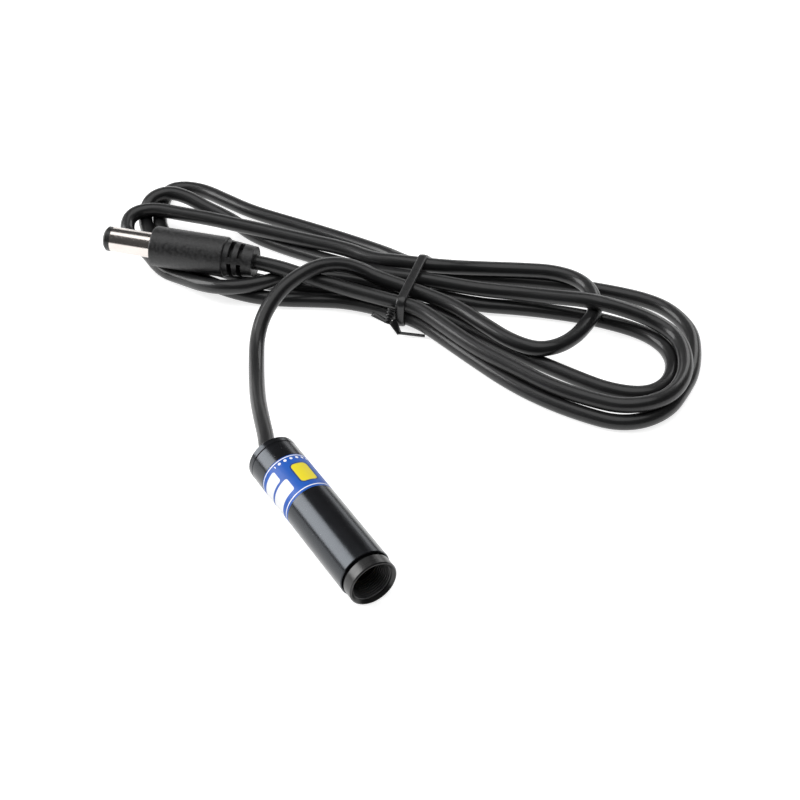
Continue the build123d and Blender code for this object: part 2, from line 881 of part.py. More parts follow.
# Moulded grip with pockets for the contacts, and a strain relief cut by rows of windows
with BuildPart() as plug_overmould:
    grip_r = grip_diameter / 2
    pocket_front = sleeve_rear - barrel_flange_thickness - flat_gap
    pocket_rear = sleeve_rear + flat_gap
    cord_stop = plug_rear - relief_cord_depth - flat_gap
    cord_pocket_r = cord_diameter / 2 + turned_gap
    with BuildSketch(plug_profile()) as grip_section:
        with BuildLine():
            Polyline(
                (barrel_reach, barrel_tail_diameter / 2 + turned_gap),
                (barrel_reach, grip_r),
                (grip_rear, grip_r),
                (grip_rear, relief_start_diameter / 2),
                (plug_rear, relief_end_diameter / 2),
                (plug_rear, cord_pocket_r),
                (cord_stop, cord_pocket_r),
                (cord_stop, 0),
                (contact_rear + flat_gap, 0),
                (contact_rear + flat_gap, contact_diameter / 2 + turned_gap),
                (pocket_rear, contact_diameter / 2 + turned_gap),
                (pocket_rear, barrel_flange / 2 + turned_gap),
                (pocket_front, barrel_flange / 2 + turned_gap),
                (pocket_front, barrel_tail_diameter / 2 + turned_gap),
                close=True,
            )
        make_face()
        fillet(grip_section.vertices().group_by(Axis.Y)[-1].sort_by(Axis.X)[0], grip_front_round)
        fillet(grip_section.vertices().group_by(Axis.Y)[-1].sort_by(Axis.X)[-1], grip_rear_round)
    revolve(axis=plug_axis)
    window_pitch = 360 / relief_windows
    for groove in range(relief_grooves):
        groove_start = grip_rear + relief_rib + groove * (relief_groove + relief_rib)
        for window in range(relief_windows):
            window_turn = window * window_pitch + relief_window_start
            window_middle = (groove_start + relief_groove / 2, (relief_core_diameter + grip_diameter) / 4)
            with BuildSketch(plug_profile(window_turn)):
                with Locations(window_middle):
                    Rectangle(relief_groove, (grip_diameter - relief_core_diameter) / 2)
            revolve(axis=plug_axis, revolution_arc=relief_window_angle, mode=Mode.SUBTRACT)
finish(plug_overmould, "plug_overmould")
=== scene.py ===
import math

import bpy
from mathutils import Matrix, Vector


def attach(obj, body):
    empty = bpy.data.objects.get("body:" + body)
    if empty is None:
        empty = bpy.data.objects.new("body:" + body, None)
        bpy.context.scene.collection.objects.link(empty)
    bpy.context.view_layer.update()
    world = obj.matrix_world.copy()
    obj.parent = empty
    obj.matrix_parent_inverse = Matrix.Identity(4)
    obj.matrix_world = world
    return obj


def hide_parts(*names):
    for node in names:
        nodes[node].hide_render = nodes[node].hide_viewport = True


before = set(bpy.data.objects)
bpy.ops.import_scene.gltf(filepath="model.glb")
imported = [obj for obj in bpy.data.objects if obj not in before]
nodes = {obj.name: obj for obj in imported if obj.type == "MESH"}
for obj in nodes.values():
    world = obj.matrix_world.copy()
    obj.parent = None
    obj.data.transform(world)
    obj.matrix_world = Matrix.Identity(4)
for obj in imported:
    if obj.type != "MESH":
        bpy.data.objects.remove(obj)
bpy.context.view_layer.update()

# Sizes are in millimetres unless a name or a comment says metres. Blender works in metres.
mm = 0.001
metre = 1000

# The cord's run, in millimetres, from the rear cap to the plug's strain relief.
module_lead = [
    (-14.5, 0.0, 5.0),
    (-20.8, 0.0, 5.0),
    (-25.4, 2.0, 4.7),
    (-30.8, 3.9, 4.0),
    (-37.6, 6.5, 2.8),
    (-44.5, 9.7, 1.8),
    (-50.4, 12.7, 1.7),
    (-55.4, 15.5, 2.6),
    (-59.0, 18.9, 4.8),
    (-61.3, 23.6, 7.4),
    (-62.2, 28.8, 9.2),
    (-62.8, 34.6, 9.6),
    (-61.6, 39.6, 8.9),
    (-59.0, 43.0, 7.6),
    (-56.4, 45.0, 6.5),
    (-52.6, 48.0, 5.8),
]
small_loop = [
    (-47.1, 51.7, 5.3),
    (-40.5, 55.0, 5.1),
    (-31.6, 56.8, 5.1),
    (-25.3, 58.4, 4.9),
    (-20.3, 61.5, 4.7),
    (-18.9, 65.9, 4.6),
    (-19.7, 70.9, 4.6),
    (-22.0, 75.5, 4.6),
    (-24.5, 79.7, 4.6),
    (-30.0, 83.0, 4.6),
    (-35.5, 83.2, 4.6),
    (-40.5, 80.2, 4.6),
    (-44.5, 75.2, 4.5),
    (-50.2, 66.6, 4.6),
    (-53.0, 58.8, 6.3),
]
left_front_loop = [
    (-59.4, 52.0, 6.2),
    (-64.0, 48.3, 5.4),
    (-70.5, 45.5, 5.2),
    (-79.5, 39.0, 4.7),
    (-86.3, 33.8, 4.7),
    (-91.7, 29.5, 4.7),
    (-97.2, 25.2, 4.7),
    (-101.9, 20.8, 4.7),
    (-107.5, 16.0, 4.7),
    (-108.8, 10.8, 4.1),
    (-104.2, 7.7, 2.7),
    (-97.9, 9.4, 1.6),
    (-88.6, 9.2, 1.6),
    (-83.4, 11.6, 2.1),
    (-76.8, 13.5, 3.6),
    (-72.3, 16.5, 4.6),
    (-70.3, 21.0, 4.6),
    (-69.4, 26.0, 4.5),
    (-69.5, 31.0, 4.5),
    (-65.5, 37.5, 3.7),
    (-60.6, 44.2, 2.7),
    (-54.6, 47.9, 2.4),
]
inner_loop = [
    (-50.0, 54.3, 2.4),
    (-42.4, 61.6, 1.7),
    (-37.4, 68.3, 1.6),
    (-32.0, 74.4, 1.6),
    (-26.1, 80.1, 1.6),
    (-17.2, 86.3, 1.6),
    (-10.4, 87.5, 1.6),
    (-4.6, 85.3, 1.6),
    (-0.3, 80.1, 1.6),
    (-0.2, 74.3, 1.6),
    (-4.8, 69.2, 1.6),
    (-10.7, 66.0, 1.6),
    (-22.9, 60.5, 1.6),
    (-39.0, 54.6, 1.9),
    (-46.1, 50.6, 2.4),
]
left_inner_loop = [
    (-52.3, 45.6, 2.2),
    (-59.8, 41.4, 1.6),
    (-64.5, 35.2, 1.6),
    (-70.0, 29.3, 1.6),
    (-76.0, 24.3, 1.6),
    (-85.0, 18.5, 1.6),
    (-94.0, 15.6, 1.6),
    (-102.0, 15.5, 1.6),
    (-108.0, 17.5, 1.6),
    (-113.2, 21.1, 1.6),
    (-116.7, 24.1, 1.6),
    (-115.9, 27.8, 1.6),
    (-112.2, 31.2, 1.6),
    (-106.4, 33.5, 1.6),
    (-100.2, 36.0, 1.6),
    (-95.8, 38.4, 1.6),
    (-86.4, 44.4, 1.6),
    (-76.4, 49.7, 2.1),
    (-66.9, 54.0, 2.8),
    (-61.2, 54.5, 4.2),
]
outer_loop = [
    (-54.4, 59.2, 3.4),
    (-50.3, 67.6, 1.6),
    (-40.9, 79.8, 1.6),
    (-31.6, 88.8, 1.6),
    (-24.7, 94.1, 1.6),
    (-18.9, 96.0, 1.6),
    (-11.6, 95.2, 1.6),
    (-6.0, 91.5, 1.6),
    (-0.6, 86.6, 1.6),
    (2.7, 81.5, 1.6),
    (5.7, 76.0, 1.6),
    (6.2, 69.7, 1.6),
    (3.7, 64.2, 1.6),
    (-1.7, 60.3, 1.6),
    (-9.1, 56.3, 1.6),
    (-17.6, 53.2, 1.6),
    (-28.4, 51.0, 1.6),
    (-36.9, 49.4, 1.7),
    (-43.3, 47.6, 2.3),
]
left_outer_loop = [
    (-50.5, 43.5, 2.3),
    (-57.6, 38.6, 1.7),
    (-61.5, 33.4, 1.6),
    (-65.8, 26.7, 1.6),
    (-70.4, 21.5, 1.6),
    (-77.0, 17.0, 1.6),
    (-86.0, 13.0, 1.6),
    (-95.8, 11.8, 1.6),
    (-103.0, 12.7, 1.6),
    (-109.3, 14.4, 1.7),
    (-112.4, 17.4, 3.9),
    (-112.0, 22.0, 4.6),
    (-108.3, 25.1, 4.2),
    (-103.9, 27.6, 2.9),
    (-100.2, 30.0, 2.0),
    (-97.2, 31.4, 1.6),
    (-90.0, 32.6, 1.6),
    (-83.4, 35.8, 1.6),
    (-77.6, 39.0, 1.8),
    (-68.2, 44.0, 2.7),
    (-58.9, 48.2, 4.7),
]
top_loop = [
    (-50.6, 55.3, 5.4),
    (-43.5, 62.0, 5.1),
    (-38.0, 68.5, 5.1),
    (-31.5, 73.5, 6.3),
    (-24.5, 78.5, 7.9),
    (-19.0, 84.3, 6.5),
    (-14.6, 88.2, 4.8),
    (-9.1, 89.2, 4.3),
    (-3.8, 87.1, 4.3),
    (1.5, 82.9, 4.4),
    (5.1, 77.0, 4.7),
    (5.2, 71.1, 4.7),
    (2.6, 66.0, 4.4),
    (-2.1, 62.3, 4.3),
    (-9.1, 58.0, 4.3),
    (-17.9, 54.9, 4.3),
    (-27.0, 51.5, 4.5),
    (-38.0, 49.3, 4.9),
    (-44.0, 47.8, 5.3),
]
plug_lead = [
    (-48.6, 44.4, 5.4),
    (-57.0, 38.2, 5.6),
    (-63.6, 32.9, 6.4),
    (-70.6, 27.2, 7.7),
    (-76.1, 21.9, 7.7),
]
cord_radius = 1.6
cord_bevel_resolution = 7
cord_run_resolution = 10

# The bundle at the tie: its middle, its heading and its outer strands, across it and up.
bundle_centre = Vector((-51.5, 50.5, 0))
bundle_heading = math.radians(44)
outer_strands = [(-7.2, 2.4), (-4.0, 2.4), (0.3, 2.5), (9.2, 4.3), (7.0, 6.2), (-6.7, 5.4)]

# The tie: its strip's section, how closely it hugs the strands, its slant, and its fineness.
strip_half = 1.0
strip_edge = 0.9
strip_shoulder = 0.7
strip_base = 0.2
strip_edge_rise = 0.17
strip_shoulder_rise = 0.24
strip_ridge = 0.52
strip_turns = 120
tie_gap = 0.03
tie_lean = 0.06
tie_shift = 0.4
knot_steps = 60
tail_steps = 8

# The thread in the front bore.
thread_start = 13.6
thread_pitch = 0.5
thread_turns = 9.5
thread_radius = 3.96
thread_depth = 0.27
thread_steps = 72
thread_sides = 4

# The height of the module's axis, and the radius on which the label's print is laid out.
axis_z = 5.0
label_radius = 5.0


def mesh_piece(name, vertices, faces, material, smooth=True):
    mesh = bpy.data.meshes.new(name)
    mesh.from_pydata([tuple(c * mm for c in v) for v in vertices], [], faces)
    mesh.validate()
    if smooth:
        mesh.shade_smooth()
    mesh.materials.append(material)
    return placed(name, mesh)


def placed(name, data):
    piece = bpy.data.objects.new(name, data)
    bpy.context.collection.objects.link(piece)
    return piece


def in_bundle(along, across, z):
    turn = Matrix.Rotation(bundle_heading, 3, "Z")
    return bundle_centre + turn @ Vector((along, across, z))


class Finish:
    """A procedural material: a principled shader with grain in its colour, roughness and surface."""

    def __init__(self, name):
        self.material = bpy.data.materials.new(name)
        self.material.use_nodes = True
        self.tree = self.material.node_tree
        self.shader = self.tree.nodes["Principled BSDF"]
        self.place = self.tree.nodes.new("ShaderNodeTexCoord").outputs["Object"]

    def link(self, source, socket):
        self.tree.links.new(source, socket)

    def node(self, kind, **settings):
        made = self.tree.nodes.new(kind)
        for key, value in settings.items():
            setattr(made, key, value)
        return made

    def math(self, operation, *values):
        made = self.node("ShaderNodeMath", operation=operation)
        for socket, value in zip(made.inputs, values):
            if isinstance(value, (int, float)):
                socket.default_value = value
            else:
                self.link(value, socket)
        return made.outputs[0]

    def larger(self, first, second):
        return self.math("MAXIMUM", first, second)

    def apart(self, first, second):
        return self.math("ABSOLUTE", self.math("SUBTRACT", first, second))

    def squares(self, first, second):
        return self.math("ADD", self.math("POWER", first, 2), self.math("POWER", second, 2))

    def noise(self, scale, detail=4, stretch=(1, 1, 1)):
        mapping = self.node("ShaderNodeMapping")
        mapping.inputs["Scale"].default_value = stretch
        self.link(self.place, mapping.inputs["Vector"])
        made = self.node("ShaderNodeTexNoise")
        made.inputs["Scale"].default_value = scale
        made.inputs["Detail"].default_value = detail
        self.link(mapping.outputs["Vector"], made.inputs["Vector"])
        return made.outputs["Fac"]

    def spread(self, value, low, high, start=0.3, end=0.7):
        made = self.node("ShaderNodeMapRange")
        for key, number in (("From Min", start), ("From Max", end), ("To Min", low), ("To Max", high)):
            made.inputs[key].default_value = number
        self.link(value, made.inputs["Value"])
        return made.outputs["Result"]

    def blend(self, factor, first, second):
        made = self.node("ShaderNodeMix", data_type="RGBA")
        colours = [socket for socket in made.inputs if socket.type == "RGBA"]
        self.link(factor, made.inputs["Factor"])
        for socket, value in zip(colours, (first, second)):
            if isinstance(value, tuple):
                socket.default_value = (*value, 1)
            else:
                self.link(value, socket)
        return next(socket for socket in made.outputs if socket.type == "RGBA")

    def colour(self, source):
        self.link(source, self.shader.inputs["Base Color"])

    def roughness(self, source):
        self.link(source, self.shader.inputs["Roughness"])

    def bump(self, height, strength, distance):
        made = self.node("ShaderNodeBump")
        made.inputs["Strength"].default_value = strength
        made.inputs["Distance"].default_value = distance * mm
        self.link(height, made.inputs["Height"])
        self.link(made.outputs["Normal"], self.shader.inputs["Normal"])

    def set(self, **values):
        for key, value in values.items():
            self.shader.inputs[key.replace("_", " ")].default_value = value
        return self


def grained(name, dark, light, rough, grain, bump, speckled=False, **values):
    """A finish whose roughness and surface vary with a grain; its colour is speckled or clouded."""
    cloud_grains = 6.25
    bump_share = 0.1
    finish = Finish(name)
    fine = finish.noise(metre / grain)
    mottle = fine if speckled else finish.noise(metre / (cloud_grains * grain), detail=3)
    finish.colour(finish.blend(finish.spread(mottle, 0, 1), dark, light))
    finish.roughness(finish.spread(fine, *rough))
    finish.bump(fine, bump, bump_share * grain)
    return finish.set(**values)


def turned(name, dark, light, rough, **values):
    """A lathe-turned finish: fine rings along the module's axis, and a few specks of dust."""
    ring_stretch = (9000, 25, 25)
    ring_strength, ring_depth = 0.05, 0.01
    cloud_scale, dust_scale = 220, 1700
    dust_grey = (0.4, 0.4, 0.4)
    dust_start, dust_full, dust_cover = 0.74, 0.8, 0.35
    finish = Finish(name)
    rings = finish.noise(scale=1, detail=5, stretch=ring_stretch)
    cloud = finish.spread(finish.noise(cloud_scale), 0, 1)
    dust = finish.spread(finish.noise(dust_scale, detail=2), 0, dust_cover, dust_start, dust_full)
    finish.colour(finish.blend(dust, finish.blend(cloud, dark, light), dust_grey))
    finish.roughness(finish.spread(rings, *rough))
    finish.bump(rings, ring_strength, ring_depth)
    return finish.set(**values)


def label_film(name):
    """Blue film with white panels, a row of dots, a yellow patch and white edge lines."""
    blues = (0.002, 0.08, 0.42), (0.004, 0.1, 0.5)
    white = (0.94, 0.95, 0.96)
    border_blue = (0.004, 0.03, 0.16)
    yellow = (0.84, 0.7, 0.02)
    dot_row, dot_pitch, dots_end = -12.2, 1.25, 3.0
    dot_inner, dot_outer = 0.07, 0.12
    soft_edge, soft_line = 0.05, 0.03
    cloud_scale, grain_scale = 300, 2500
    grain_rough = 0.38, 0.5
    grain_strength, grain_depth = 0.05, 0.02

    finish = Finish(name)
    split = finish.node("ShaderNodeSeparateXYZ")
    finish.link(finish.place, split.inputs[0])
    # The run is measured along the tube, and the girth round it from the top towards negative y.
    run = finish.math("MULTIPLY", split.outputs["X"], metre)
    side = finish.math("MULTIPLY", split.outputs["Y"], -1)
    rise = finish.math("SUBTRACT", split.outputs["Z"], axis_z * mm)
    girth = finish.math("MULTIPLY", finish.math("ARCTAN2", side, rise), label_radius)

    def panel(run_middle, run_half, girth_middle, girth_half, corner):
        """1 inside a rounded panel, 0 outside it."""
        across = finish.math("SUBTRACT", finish.apart(run, run_middle), run_half - corner)
        around = finish.math("SUBTRACT", finish.apart(girth, girth_middle), girth_half - corner)
        squares = finish.squares(finish.larger(across, 0), finish.larger(around, 0))
        return finish.spread(finish.math("SQRT", squares), 1, 0, corner - soft_edge, corner + soft_edge)

    def line(run_middle, half):
        """1 on a line round the tube, 0 off it."""
        return finish.spread(finish.apart(run, run_middle), 1, 0, half - soft_line, half + soft_line)

    def dots():
        """1 on the dots of a row round the tube, up to where the row ends."""
        step = finish.math("FRACT", finish.math("MULTIPLY", girth, 1 / dot_pitch))
        around = finish.math("MULTIPLY", finish.math("SUBTRACT", step, 0.5), dot_pitch)
        squares = finish.squares(around, finish.apart(run, dot_row))
        row = finish.math("LESS_THAN", girth, dots_end)
        return finish.math("MULTIPLY", finish.spread(squares, 1, 0, dot_inner, dot_outer), row)

    rear_panel = panel(run_middle=-10.4, run_half=1.4, girth_middle=9.2, girth_half=5.6, corner=0.5)
    front_panel = panel(run_middle=-6.8, run_half=1.6, girth_middle=8.4, girth_half=5.9, corner=0.5)
    panels = finish.larger(rear_panel, front_panel)
    edges = finish.larger(line(run_middle=-4.0, half=0.11), line(run_middle=-12.9, half=0.1))
    print_white = finish.larger(finish.larger(panels, edges), dots())
    border = panel(run_middle=-8.0, run_half=2.75, girth_middle=-1.1, girth_half=1.95, corner=1.0)
    patch = panel(run_middle=-8.0, run_half=2.5, girth_middle=-1.1, girth_half=1.7, corner=0.8)

    shown = finish.blend(finish.spread(finish.noise(cloud_scale, detail=3), 0, 1), *blues)
    shown = finish.blend(print_white, shown, white)
    shown = finish.blend(border, shown, border_blue)
    shown = finish.blend(patch, shown, yellow)
    finish.colour(shown)
    grain = finish.noise(grain_scale, detail=3)
    finish.roughness(finish.spread(grain, *grain_rough))
    finish.bump(grain, grain_strength, grain_depth)
    return finish.set(Specular_IOR_Level=0.35)


# The module's outside
anodised_black = turned(
    "anodised_black",
    dark=(0.003, 0.003, 0.0035),
    light=(0.006, 0.006, 0.007),
    rough=(0.18, 0.26),
    Specular_Tint=(0.84, 0.91, 1, 1),
)
barrel_black = turned(
    "barrel_black",
    dark=(0.004, 0.004, 0.0042),
    light=(0.008, 0.008, 0.0083),
    rough=(0.26, 0.35),
)
# Painted light: the thread's grey is much lighter than the anodised black, and stands in for light that
# hardly reaches into the bore.
thread_grey_painted_light = turned(
    "thread_grey_painted_light",
    dark=(0.05, 0.05, 0.052),
    light=(0.07, 0.07, 0.072),
    rough=(0.35, 0.45),
)
printed_label = label_film("label_film")

# The cord, its tie and its plug
cord_jacket = grained(
    "cord_jacket",
    dark=(0.006, 0.006, 0.0065),
    light=(0.01, 0.01, 0.0105),
    rough=(0.4, 0.5),
    grain=0.35,
    bump=0.1,
    Specular_IOR_Level=0.32,
    Coat_Weight=0.3,
    Coat_Roughness=0.12,
)
tie_plastic = grained(
    "tie_plastic",
    dark=(0.012, 0.012, 0.0125),
    light=(0.02, 0.02, 0.0205),
    rough=(0.26, 0.36),
    grain=0.25,
    bump=0.15,
)
plug_moulding = grained(
    "plug_moulding",
    dark=(0.002, 0.002, 0.002),
    light=(0.022, 0.022, 0.023),
    rough=(0.36, 0.56),
    grain=0.6,
    bump=1.0,
    speckled=True,
)
plug_nickel = grained(
    "plug_nickel",
    dark=(0.6, 0.555, 0.525),
    light=(0.65, 0.6, 0.57),
    rough=(0.14, 0.2),
    grain=0.5,
    bump=0.01,
    Metallic=1,
)
plug_tip = grained(
    "plug_tip",
    dark=(0.008, 0.008, 0.008),
    light=(0.014, 0.014, 0.014),
    rough=(0.3, 0.4),
    grain=0.2,
    bump=0.2,
)

# The optics and the diode
brass = grained(
    "brass",
    dark=(0.5, 0.34, 0.12),
    light=(0.6, 0.42, 0.16),
    rough=(0.28, 0.4),
    grain=0.3,
    bump=0.15,
    Metallic=1,
)
lens_glass = grained(
    "lens_glass",
    dark=(0.9, 0.95, 0.93),
    light=(0.94, 0.97, 0.96),
    rough=(0.02, 0.05),
    grain=0.8,
    bump=0.01,
    Transmission_Weight=0.9,
)
spring_steel = grained(
    "spring_steel",
    dark=(0.4, 0.4, 0.41),
    light=(0.5, 0.5, 0.51),
    rough=(0.25, 0.35),
    grain=0.2,
    bump=0.1,
    Metallic=1,
)
diode_gold = grained(
    "diode_gold",
    dark=(0.75, 0.55, 0.2),
    light=(0.85, 0.63, 0.26),
    rough=(0.2, 0.3),
    grain=0.2,
    bump=0.08,
    Metallic=1,
)
diode_steel = grained(
    "diode_steel",
    dark=(0.5, 0.49, 0.47),
    light=(0.58, 0.57, 0.55),
    rough=(0.25, 0.36),
    grain=0.25,
    bump=0.1,
    Metallic=1,
)

# The driver and its wires
board_laminate = grained(
    "board_laminate",
    dark=(0.01, 0.09, 0.03),
    light=(0.015, 0.13, 0.045),
    rough=(0.35, 0.5),
    grain=0.3,
    bump=0.2,
)
chip_black = grained(
    "chip_black",
    dark=(0.012, 0.012, 0.012),
    light=(0.02, 0.02, 0.02),
    rough=(0.5, 0.65),
    grain=0.1,
    bump=0.3,
)
trimmer_blue = grained(
    "trimmer_blue",
    dark=(0.02, 0.09, 0.35),
    light=(0.03, 0.12, 0.42),
    rough=(0.4, 0.5),
    grain=0.3,
    bump=0.15,
)
tantalum_yellow = grained(
    "tantalum_yellow",
    dark=(0.65, 0.42, 0.04),
    light=(0.72, 0.48, 0.06),
    rough=(0.4, 0.52),
    grain=0.2,
    bump=0.15,
)
ceramic_tan = grained(
    "ceramic_tan",
    dark=(0.42, 0.3, 0.18),
    light=(0.5, 0.37, 0.24),
    rough=(0.45, 0.6),
    grain=0.15,
    bump=0.2,
)
resistor_black = grained(
    "resistor_black",
    dark=(0.015, 0.015, 0.016),
    light=(0.025, 0.025, 0.027),
    rough=(0.3, 0.45),
    grain=0.15,
    bump=0.2,
)
wire_red = grained(
    "wire_red",
    dark=(0.4, 0.012, 0.01),
    light=(0.5, 0.02, 0.015),
    rough=(0.4, 0.5),
    grain=0.2,
    bump=0.15,
)
wire_black = grained(
    "wire_black",
    dark=(0.01, 0.01, 0.01),
    light=(0.018, 0.018, 0.018),
    rough=(0.4, 0.5),
    grain=0.2,
    bump=0.15,
)
crimp_metal = grained(
    "crimp_metal",
    dark=(0.45, 0.45, 0.46),
    light=(0.55, 0.55, 0.56),
    rough=(0.3, 0.42),
    grain=0.3,
    bump=0.15,
    Metallic=1,
)

node_finishes = {
    anodised_black: ("housing_tube", "rear_cap"),
    barrel_black: ("optics_barrel",),
    printed_label: ("label",),
    brass: ("lens_cell", "lens_retainer", "diode_clamp_ring"),
    lens_glass: ("collimating_lens", "diode_window"),
    spring_steel: ("lens_spring",),
    diode_gold: ("diode_header", "diode_leads"),
    diode_steel: ("diode_can",),
    board_laminate: ("driver_board",),
    chip_black: ("regulator_chip",),
    trimmer_blue: ("current_trimmer",),
    tantalum_yellow: ("filter_capacitor",),
    ceramic_tan: ("ceramic_capacitors",),
    resistor_black: ("resistors",),
    wire_red: ("positive_wire",),
    wire_black: ("negative_wire",),
    crimp_metal: ("cable_collar",),
    cord_jacket: ("module_lead", "cord_hank", "plug_lead"),
    tie_plastic: ("twist_tie",),
    plug_moulding: ("plug_overmould",),
    plug_nickel: ("plug_sleeve", "plug_inner_contact"),
    plug_tip: ("plug_insulator",),
}
for finish, names in node_finishes.items():
    for name in names:
        nodes[name].data.materials.clear()
        nodes[name].data.materials.append(finish.material)


def make_cord():
    run = module_lead + small_loop + left_front_loop + inner_loop + left_inner_loop
    run = run + outer_loop + left_outer_loop + top_loop + plug_lead
    curve = bpy.data.curves.new("cord", "CURVE")
    curve.dimensions = "3D"
    curve.bevel_depth = cord_radius * mm
    curve.bevel_resolution = cord_bevel_resolution
    curve.resolution_u = cord_run_resolution
    curve.use_fill_caps = True
    spline = curve.splines.new("NURBS")
    spline.points.add(len(run) - 1)
    for point, place in zip(spline.points, run):
        point.co = (*(c * mm for c in place), 1)
    spline.order_u = 3
    spline.use_endpoint_u = True
    curve.materials.append(cord_jacket.material)
    return placed("cord", curve)


def ring_faces(rings, count, closed):
    """Quads between neighbouring rings of count points; a closed run joins its last ring to its first."""
    faces = []
    for ring in range(rings if closed else rings - 1):
        after = (ring + 1) % rings
        for k in range(count):
            j = (k + 1) % count
            faces.append((ring * count + k, ring * count + j, after * count + j, after * count + k))
    return faces


def make_tie_strip():
    """The strip hugs the outermost strands, a little aslant, with rounded edges."""
    half = [
        (strip_half, 0),
        (strip_half, strip_base),
        (strip_edge, strip_base + strip_edge_rise),
        (strip_shoulder, strip_base + strip_shoulder_rise),
    ]
    profile = [(-along, height) for along, height in half] + [(0, strip_ridge)] + half[::-1]
    vertices = []
    for turn in range(strip_turns):
        angle = math.tau * turn / strip_turns
        out = (math.cos(angle), math.sin(angle))
        across, z = max(outer_strands, key=lambda slot: slot[0] * out[0] + slot[1] * out[1])
        for along, height in profile:
            reach = cord_radius + tie_gap + height
            sideways = across + out[0] * reach
            shift = tie_shift + tie_lean * sideways
            vertices.append(in_bundle(along + shift, sideways, z + out[1] * reach))
    faces = ring_faces(strip_turns, len(profile), closed=True)
    return mesh_piece("tie_strip", vertices, faces, tie_plastic.material)


def swept(name, start, end, steps, half_width, half_thickness, twist=0):
    """A flat strip from start to end, turned about its run by the twist, in degrees."""
    # The section, in half widths and half thicknesses, with its corners taken off.
    section = [(-1, -0.6), (-0.9, -1), (0.9, -1), (1, -0.6), (1, 0.6), (0.9, 1), (-0.9, 1), (-1, 0.6)]
    count = len(section)
    ahead = (end - start).normalized()
    side = ahead.cross(Vector((0, 0, 1))).normalized()
    up = side.cross(ahead)
    vertices = []
    for step in range(steps + 1):
        place = start.lerp(end, step / steps)
        turn = math.radians(twist) * step / steps
        wide = side * math.cos(turn) + up * math.sin(turn)
        thick = up * math.cos(turn) - side * math.sin(turn)
        for w, t in section:
            vertices.append(place + wide * half_width * w + thick * half_thickness * t)
    faces = ring_faces(steps + 1, count, closed=False)
    faces.append(tuple(reversed(range(count))))
    faces.append(tuple(steps * count + k for k in range(count)))
    return mesh_piece(name, vertices, faces, tie_plastic.material)


def make_tie_knot():
    return swept(
        "tie_knot",
        start=in_bundle(-1.7, -9.0, 5.3),
        end=in_bundle(-2.1, -10.6, 2.6),
        steps=knot_steps,
        half_width=0.9,
        half_thickness=0.45,
        twist=900,
    )


def make_tie_tails():
    """The left tail, the flat end on the right, and the wire core bare beyond it."""
    left_tail = swept(
        "tie_left_tail",
        start=in_bundle(-2.0, -10.4, 2.8),
        end=in_bundle(-6.0, -9.0, 3.2),
        steps=tail_steps,
        half_width=0.5,
        half_thickness=0.16,
        twist=40,
    )
    flat_end = swept(
        "tie_end",
        start=in_bundle(-1.3, -10.2, 3.2),
        end=in_bundle(0.5, -11.1, 0.9),
        steps=tail_steps,
        half_width=1.0,
        half_thickness=0.18,
        twist=30,
    )
    wire_core = swept(
        "tie_core",
        start=in_bundle(0.3, -11.1, 1.0),
        end=in_bundle(5.8, -10.2, 0.6),
        steps=tail_steps,
        half_width=0.24,
        half_thickness=0.24,
    )
    return [left_tail, flat_end, wire_core]


def make_front_thread():
    """The thread in the front bore: a ridge wound inside it."""
    inputs = {
        "Turns": ("NodeSocketFloat", thread_turns),
        "Pitch": ("NodeSocketFloat", thread_pitch * mm),
        "Radius": ("NodeSocketFloat", thread_radius * mm),
        "Depth": ("NodeSocketFloat", thread_depth * mm),
        "Start": ("NodeSocketVector", (thread_start * mm, 0, axis_z * mm)),
        "Finish": ("NodeSocketMaterial", thread_grey_painted_light.material),
    }
    tree = bpy.data.node_groups.new("bore_thread", "GeometryNodeTree")
    sockets = {}
    for name, (kind, _) in inputs.items():
        sockets[name] = tree.interface.new_socket(name, in_out="INPUT", socket_type=kind).identifier
    tree.interface.new_socket("Geometry", in_out="OUTPUT", socket_type="NodeSocketGeometry")

    add = tree.nodes.new
    given, out = add("NodeGroupInput"), add("NodeGroupOutput")
    height = add("ShaderNodeMath")
    height.operation = "MULTIPLY"
    spiral = add("GeometryNodeCurveSpiral")
    spiral.inputs["Resolution"].default_value = thread_steps
    upright = add("GeometryNodeSetCurveNormal")
    upright.mode = "Z_UP"
    ridge = add("GeometryNodeCurvePrimitiveCircle")
    ridge.inputs["Resolution"].default_value = thread_sides
    sweep = add("GeometryNodeCurveToMesh")
    laid_down = add("GeometryNodeTransform")
    laid_down.inputs["Rotation"].default_value = (0, math.pi / 2, 0)
    real = add("GeometryNodeRealizeInstances")
    coat = add("GeometryNodeSetMaterial")

    link = tree.links.new
    link(given.outputs["Turns"], height.inputs[0])
    link(given.outputs["Pitch"], height.inputs[1])
    link(given.outputs["Turns"], spiral.inputs["Rotations"])
    link(given.outputs["Radius"], spiral.inputs["Start Radius"])
    link(given.outputs["Radius"], spiral.inputs["End Radius"])
    link(height.outputs[0], spiral.inputs["Height"])
    link(spiral.outputs["Curve"], upright.inputs["Curve"])
    link(given.outputs["Depth"], ridge.inputs["Radius"])
    link(upright.outputs["Curve"], sweep.inputs["Curve"])
    link(ridge.outputs["Curve"], sweep.inputs["Profile Curve"])
    link(sweep.outputs["Mesh"], laid_down.inputs["Geometry"])
    link(given.outputs["Start"], laid_down.inputs["Translation"])
    link(laid_down.outputs["Geometry"], real.inputs["Geometry"])
    link(real.outputs["Geometry"], coat.inputs["Geometry"])
    link(given.outputs["Finish"], coat.inputs["Material"])
    link(coat.outputs["Geometry"], out.inputs["Geometry"])

    piece = mesh_piece("front_thread", [], [], thread_grey_painted_light.material)
    modifier = piece.modifiers.new("bore_thread", "NODES")
    modifier.node_group = tree
    for name, (_, value) in inputs.items():
        modifier[sockets[name]] = value
    built = piece.evaluated_get(bpy.context.evaluated_depsgraph_get())
    piece.data = bpy.data.meshes.new_from_object(built)
    piece.modifiers.clear()
    return piece


